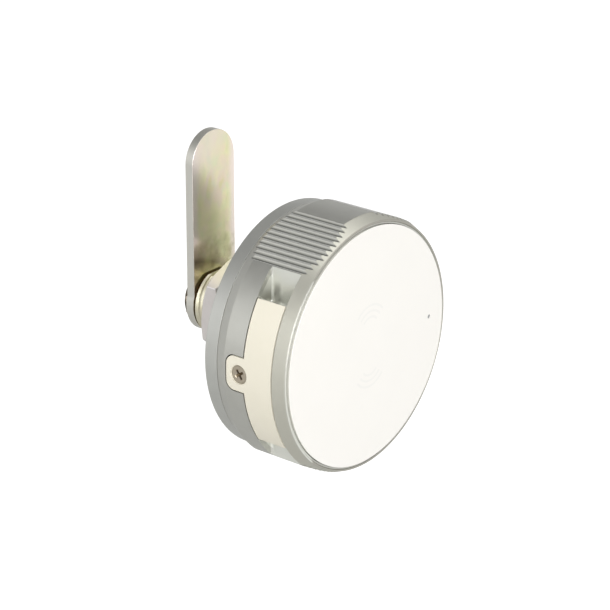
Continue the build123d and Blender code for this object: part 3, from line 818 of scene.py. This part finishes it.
# Base flange
# The round cast plate that lies on the door, round the barrel's foot. It has the same
# satin finish as the knob, a little lighter, and closes the knob's open back.
flange_bore, flange_step_radius = 9.02, 26.6
flange_front, flange_step = knob_back + 0.1, -4.0
base_flange = turned(
    "base_flange_shown",
    [
        (flange_bore, flange_step),
        (flange_step_radius, flange_step),
        (flange_step_radius, flange_front),
        (flange_radius, flange_front, 0.06),
        (flange_radius, 0, 0.2),
        (flange_bore, 0),
    ],
    steps=256,
)
plate = Paint("satin_flange", Metallic=0.85)
point = plate.millimetres()
cast = plate.noise(point, 0.3, 3.0)
lines = plate.noise(point, 1.0, 2.0, 0.5, (0.3, 9.0, 0.3))
plate.feed("Base Color", plate.mix(cast, (0.52, 0.525, 0.495), (0.58, 0.585, 0.555)))
plate.feed("Roughness", 0.4 + 0.08 * lines)
plate.feed("Normal", plate.bump(lines, 0.01, 0.3))
settle(base_flange, plate, "base", "base_flange", sharp=30.0)


# Lock barrel
# A turned and zinc plated barrel. Its hub, with two bolt notches and the stop arc,
# sits in the knob. Behind the door it has a fine thread, two flats and a neck, which
# is painted dark as painted shade in the gap by the cam.
hub_radius, hub_front = 9.0, -9.2
barrel_radius, barrel_flat, barrel_end = 7.9, 7.1, 21.9
thread_start, thread_end, thread_step = 0.3, 21.4, 0.125
thread_pitch, thread_depth, thread_sharpness, thread_chamfer = 1.5, 0.5, 1.3, 0.4
neck_radius, bore_radius = 6.8, 5.5
stop_inner, stop_outer, stop_back = 8.5, 11.3, -5.8
stop_angle, stop_sweep = 21.2, 227.6
notch_half, notch_floor, notch_back = 2, 7.1, -6.56
thread_rows = []
for row in range(int((thread_end - thread_start) / thread_step) + 1):
    thread_rows.append((barrel_radius, thread_start + thread_step * row))
lock_barrel = turned(
    "lock_barrel_shown",
    [(bore_radius, hub_front), (hub_radius, hub_front, 0.15), (hub_radius, 0), (barrel_radius, 0)]
    + thread_rows
    + [(barrel_radius - thread_chamfer, thread_end), (neck_radius, thread_end)]
    + [(neck_radius, barrel_end), (bore_radius, barrel_end)],
    steps=96,
)
for vertex in lock_barrel.data.vertices:
    radius = math.hypot(vertex.co.x, vertex.co.z)
    if radius > barrel_radius - 0.3 and thread_start - 0.1 < vertex.co.y < thread_end - 0.05:
        turn = math.atan2(vertex.co.x, vertex.co.z) / (2 * math.pi)
        phase = (vertex.co.y / thread_pitch - turn) % 1.0
        reach = barrel_radius - thread_depth * abs(2 * phase - 1) ** thread_sharpness
        vertex.co.x *= reach / radius
        vertex.co.z *= reach / radius
for side in (1, -1):
    beyond = sorted((side * barrel_flat, side * 20))
    carve(lock_barrel, block("flat", (-20, 20), (0.05, 40), beyond))
stop_arc = turned(
    "stop_arc",
    [(stop_inner, hub_front), (stop_outer, hub_front), (stop_outer, stop_back), (stop_inner, stop_back)],
    steps=64,
    angle=stop_sweep,
)
stop_arc.data.transform(Matrix.Rotation(math.radians(stop_angle), 4, "Y"))
carve(lock_barrel, stop_arc, "UNION")
notch_width, notch_reach = (-notch_half, notch_half), (notch_floor, 12)
carve(lock_barrel, block("notch", notch_width, (-10, notch_back), notch_reach))
carve(lock_barrel, block("notch", notch_reach, (-10, notch_back), notch_width))
zinc = Paint("barrel_zinc", Metallic=1.0)
point = zinc.millimetres()
tint = zinc.noise(point, 0.5, 3.0)
# Painted shade: the neck and the barrel's end are painted near black.
neck_shade = zinc.axes(point)[1].rise(thread_end - 0.05, thread_end + 0.1)
colour = zinc.mix(tint, (0.56, 0.50, 0.34), (0.66, 0.66, 0.56))
zinc.feed("Base Color", zinc.mix(neck_shade, colour, (0.12, 0.06, 0.03)))
zinc.feed("Roughness", 0.38 + 0.14 * zinc.noise(point, 4.0, 3.0))
zinc.feed("Normal", zinc.bump(zinc.noise(point, 6.0, 2.0), 0.01, 0.3))
settle(lock_barrel, zinc, "base", "lock_barrel", sharp=35.0)


# Mounting nut
# A flat hexagon nut of pressed steel with chamfered corners and a warm zinc finish.
# It clamps the door against the flange. The facet on top is painted near white, as a painted highlight.
nut_width, nut_y0, nut_y1, nut_turn = 22.0, 12.3, 16.5, 7.7
nut_corner = nut_width / math.sqrt(3)
nut_face_radius, nut_mouth, nut_mouth_depth, nut_bore = 11.2, 8.6, 0.55, 7.95
bm = bmesh.new()
middle = Matrix.Translation((0, (nut_y0 + nut_y1) / 2, 0))
bmesh.ops.create_cone(
    bm,
    cap_ends=True,
    segments=6,
    radius1=nut_corner,
    radius2=nut_corner,
    depth=nut_y1 - nut_y0,
    matrix=middle @ Matrix.Rotation(math.radians(nut_turn), 4, "Y") @ flat,
)
mounting_nut = piece_of("mounting_nut_shown", bm)
chamfer_reach = nut_corner + 1
chamfer_drop = (chamfer_reach - nut_face_radius) * math.tan(math.radians(30))
chamfer = turned(
    "chamfer",
    [
        (0, nut_y0),
        (nut_face_radius, nut_y0),
        (chamfer_reach, nut_y0 + chamfer_drop),
        (chamfer_reach, nut_y1 - chamfer_drop),
        (nut_face_radius, nut_y1),
        (0, nut_y1),
    ],
    steps=128,
    open_ends=True,
)
carve(mounting_nut, chamfer, "INTERSECT")
thread = turned(
    "thread",
    [
        (0, nut_y0 - 1),
        (nut_mouth, nut_y0 - 1),
        (nut_mouth, nut_y0),
        (nut_bore, nut_y0 + nut_mouth_depth),
        (nut_bore, nut_y1 - nut_mouth_depth),
        (nut_mouth, nut_y1),
        (nut_mouth, nut_y1 + 1),
        (0, nut_y1 + 1),
    ],
    steps=96,
    open_ends=True,
)
carve(mounting_nut, thread)
warm = Paint("nut_zinc", Metallic=0.85)
point = warm.millimetres()
tint = warm.noise(point, 0.35, 3.0)
brush = warm.noise(point, 2.5, 3.0)
across, along, up = warm.axes(point)
facet = math.radians(nut_turn - 30)
outward = across * math.sin(facet) + up * math.cos(facet)
# Painted highlight on the top facet.
top_facet_highlight = outward.rise(nut_width / 2 - 0.3, nut_width / 2 - 0.1)
colour = warm.mix(tint, (0.62, 0.58, 0.56), (0.74, 0.71, 0.69))
warm.feed("Base Color", warm.mix(top_facet_highlight, colour, (0.98, 0.95, 0.95)))
warm.feed("Roughness", 0.3 + 0.12 * brush)
warm.feed("Normal", warm.bump(brush, 0.02, 0.35))
soften(mounting_nut, 0.15, 40)
settle(mounting_nut, warm, "base", "mounting_nut", sharp=25.0)


# Cam
# A stamped flat steel cam, yellow zinc plated, on the square end of the spindle. Its
# faces shimmer in gold, olive and pink, and its sheared edges are paler.
cam_half, cam_heel, cam_reach = 7.25, 7.7, 41.3
cam_front, cam_back, cam_rounding = 22.0, 24.23, 0.16
square_width, spindle_radius = 7.6, 5.45
tip_z = cam_reach - cam_half
heel_rise = math.degrees(math.acos(cam_half / cam_heel))
bm = bmesh.new()
bmesh.ops.create_circle(bm, cap_ends=True, radius=1, segments=128, matrix=flat)
for vertex in bm.verts:
    turn = math.atan2(vertex.co.z, vertex.co.x)
    if vertex.co.z > 1e-5 or abs(vertex.co.z) <= 1e-5 and vertex.co.x > 0:
        radius, rise = cam_half, tip_z
    else:
        share = (math.degrees(turn) % 360 - 180) / 180
        turn = math.radians(180 - heel_rise + share * (180 + 2 * heel_rise))
        radius, rise = cam_heel, 0
    vertex.co = (radius * math.cos(turn), cam_front, rise + radius * math.sin(turn))
thicken(bm, (0, cam_back - cam_front, 0))
rims = [e for e in bm.edges if abs(e.verts[0].co.y - e.verts[1].co.y) < 0.001]
round_edges(bm, rims, cam_rounding)
cam = piece_of("cam_shown", bm)
square_half = square_width / 2 + 0.05
square = block("square", (-square_half, square_half), (10, 40), (-square_half, square_half))
shaft_outline = [(0, 12), (spindle_radius, 12), (spindle_radius, 38), (0, 38)]
carve(square, turned("shaft", shaft_outline, steps=64, open_ends=True), "INTERSECT")
carve(cam, square)

plated = Paint("cam_zinc", Metallic=1.0)
point = plated.millimetres()
across, along, up = plated.axes(point)
film_stops = [
    (0.32, (0.82, 0.78, 0.47)),
    (0.42, (0.75, 0.75, 0.44)),
    (0.50, (0.83, 0.79, 0.50)),
    (0.60, (0.80, 0.71, 0.56)),
    (0.70, (0.75, 0.69, 0.39)),
]
cloud = plated.noise(point, 0.11, 3.0, 0.55, (1.0, 1.0, 0.55))
film = plated.node("ShaderNodeValToRGB", {"stops": film_stops}, {"Fac": cloud})
fleck = plated.noise(point, 0.28, 4.0, 0.62)
film = plated.mix(0.45 * fleck.rise(0.5, 0.68), film, (0.86, 0.70, 0.58))
film = plated.mix(0.45 * (1 - fleck.rise(0.34, 0.5)), film, (0.70, 0.78, 0.50))
film = plated.mix(0.85 * abs(across).rise(4.6, 7.0), film, (0.90, 0.80, 0.76))
film = plated.mix(0.6 * (up - 0.9 * across).rise(30, 41), film, (0.82, 0.73, 0.69))
# Darker blotches, strongest near the spindle and fading out towards the tip.
dark_blotch = plated.noise(point, 0.3, 4.0, 0.5) * (1 - up.rise(6.0, 30.0))
film = plated.mix(dark_blotch.rise(0.25, 0.75), film, (0.46, 0.42, 0.25))
edge_face = (along - cam_front).rise(0.01, 0.1) * (1 - (along - cam_back).rise(-0.1, -0.01))
plated.feed("Base Color", plated.mix(edge_face, film, (0.66, 0.65, 0.60)))
fine = plated.noise(point, 3.0, 4.0, 0.6, (1.0, 1.0, 0.25))
plated.feed("Roughness", 0.16 + 0.14 * fine + 0.25 * edge_face)
plated.feed("Normal", plated.bump(fine, 0.015, 0.3))
settle(cam, plated, "knob", "cam", sharp=30.0)


# Toothed washer
# A spring steel lock washer, punched with twelve teeth that are twisted to bite. It
# lies between the cam and the head of the cam's screw.
washer_front, washer_back = 24.38, 25.08
washer_bore, washer_ring = 2.75, 4.7
tooth_count, tooth_length, tooth_twist, washer_turn = 12, 2.25, 20, 3
cam_washer = turned(
    "cam_washer_shown",
    [
        (washer_bore, washer_front),
        (washer_ring, washer_front),
        (washer_ring, washer_back),
        (washer_bore, washer_back),
    ],
    steps=4 * tooth_count,
)
bm = bmesh.new()
bm.from_mesh(cam_washer.data)
outer = []
for face in bm.faces:
    if all(math.hypot(v.co.x, v.co.z) > washer_ring - 0.1 for v in face.verts):
        outer.append(face)
outer.sort(key=lambda face: math.atan2(face.calc_center_median().x, face.calc_center_median().z))
for index in range(tooth_count):
    chosen = outer[4 * index:4 * index + 2]
    middle = sum((face.calc_center_median() for face in chosen), Vector()) / 2
    outward = Vector((middle.x, 0, middle.z)).normalized()
    twist = Matrix.Rotation(math.radians(tooth_twist), 3, outward)
    moved = extruded(bm, chosen)
    bmesh.ops.translate(bm, verts=moved, vec=outward * tooth_length)
    bmesh.ops.rotate(bm, verts=moved, cent=middle, matrix=twist)
    bmesh.ops.delete(bm, geom=[face for face in chosen if face.is_valid], context="FACES")
bmesh.ops.remove_doubles(bm, verts=bm.verts, dist=0.001)
bmesh.ops.recalc_face_normals(bm, faces=bm.faces)
settled = Matrix.Rotation(math.radians(washer_turn), 3, "Y")
bmesh.ops.rotate(bm, verts=bm.verts, cent=(0, 0, 0), matrix=settled)
bm.to_mesh(cam_washer.data)
bm.free()
spring = Paint("washer_steel", Metallic=1.0)
point = spring.millimetres()
tint = spring.noise(point, 1.2, 3.0)
spring.feed("Base Color", spring.mix(tint, (0.50, 0.42, 0.34), (0.64, 0.56, 0.47)))
spring.feed("Roughness", 0.32 + 0.15 * tint)
spring.feed("Normal", spring.bump(tint, 0.02, 0.3))
settle(cam_washer, spring, "knob", "cam_washer", sharp=30.0)


# Cam screw
# A domed nickel-plated screw with a cross recess. It goes into the end of the spindle
# and clamps the washer and the cam.
seat_y, rim_height, head_height = 25.23, 0.9, 2.8
cam_screw_head, cam_screw_shank, cam_screw_end = 6.0, 2.45, 9.03
cam_cross_width, cam_cross_depth = 4.8, 1.7
dome_steps = 12
top_y = seat_y + head_height
dome_rise = head_height - rim_height
dome_radius = (cam_screw_head**2 + dome_rise**2) / (2 * dome_rise)
dome_turn = math.asin(cam_screw_head / dome_radius)
dome = []
for step in range(dome_steps + 1):
    turn = dome_turn * step / dome_steps
    dome.append((dome_radius * math.sin(turn), top_y - dome_radius * (1 - math.cos(turn))))
cam_screw = turned(
    "cam_screw_shown",
    dome
    + [(cam_screw_head, seat_y, 0.12), (cam_screw_shank, seat_y)]
    + [(cam_screw_shank, cam_screw_end), (0, cam_screw_end)],
    steps=96,
    open_ends=True,
)
on_dome = Matrix.Translation((0, top_y, 0)) @ Matrix.Rotation(-math.pi / 2, 4, "X")
cut_cross(cam_screw, cam_cross_width, cam_cross_depth, on_dome)
settle(cam_screw, steel, "knob", "cam_screw", sharp=30.0)


# Inner pieces
# The electronics, battery, inner frame and lock drive sit hidden in the knob, screwed,
# glued or snapped in. They keep their solids and get finishes of their own.
def inner_finish(name, pieces, dark, light, scale, rough, metal=0.0):
    """Give hidden pieces a mottled finish."""
    paint = Paint(name, Metallic=metal)
    spot = paint.millimetres()
    mottle = paint.noise(spot, scale, 3.0)
    paint.feed("Base Color", paint.mix(mottle, dark, light))
    paint.feed("Roughness", rough + 0.12 * mottle)
    paint.feed("Normal", paint.bump(mottle, 0.01, 0.3))
    for piece in pieces:
        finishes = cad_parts[piece].data.materials
        finishes.clear()
        finishes.append(paint.material)


black_pieces = ["buzzer", "chassis", "battery_tray", "rear_plate"]
steel_screws = ["board_screws", "rear_plate_screws", "spindle_screw"]
drive_pieces = ["motor", "drive_screw", "lock_bolt", "spindle"]
contacts = ["positive_contact", "negative_contact"]
inner_finish("adhesive_film", ["disc_adhesive"], (0.55, 0.50, 0.38), (0.65, 0.60, 0.48), 2.0, 0.6)
inner_finish("light_pin", ["light_guide"], (0.30, 0.31, 0.31), (0.38, 0.39, 0.39), 3.0, 0.25)
inner_finish("led_body", ["status_led"], (0.80, 0.78, 0.66), (0.88, 0.86, 0.76), 4.0, 0.4)
inner_finish("coil_copper", ["antenna_coil"], (0.62, 0.32, 0.17), (0.74, 0.42, 0.24), 4.0, 0.3, 1.0)
inner_finish("board_green", ["control_board"], (0.02, 0.13, 0.06), (0.03, 0.18, 0.09), 1.0, 0.4)
inner_finish("chip_black", ["microcontroller"], (0.015, 0.015, 0.016), (0.03, 0.03, 0.032), 3.0, 0.55)
inner_finish("black_plastic", black_pieces, (0.02, 0.02, 0.021), (0.035, 0.035, 0.036), 2.0, 0.5)
inner_finish(
    "inner_steel", steel_screws + drive_pieces, (0.50, 0.50, 0.49), (0.62, 0.62, 0.60), 1.5, 0.3, 1.0
)
inner_finish("insert_brass", ["cover_insert"], (0.68, 0.50, 0.22), (0.78, 0.60, 0.30), 2.0, 0.3, 1.0)
inner_finish("cell_steel", ["coin_cell"], (0.60, 0.60, 0.58), (0.70, 0.70, 0.68), 0.5, 0.22, 1.0)
inner_finish("contact_spring", contacts, (0.62, 0.60, 0.52), (0.72, 0.70, 0.62), 2.0, 0.3, 1.0)
inner_finish("thrust_plastic", ["thrust_washer"], (0.75, 0.74, 0.70), (0.82, 0.81, 0.77), 2.0, 0.45)
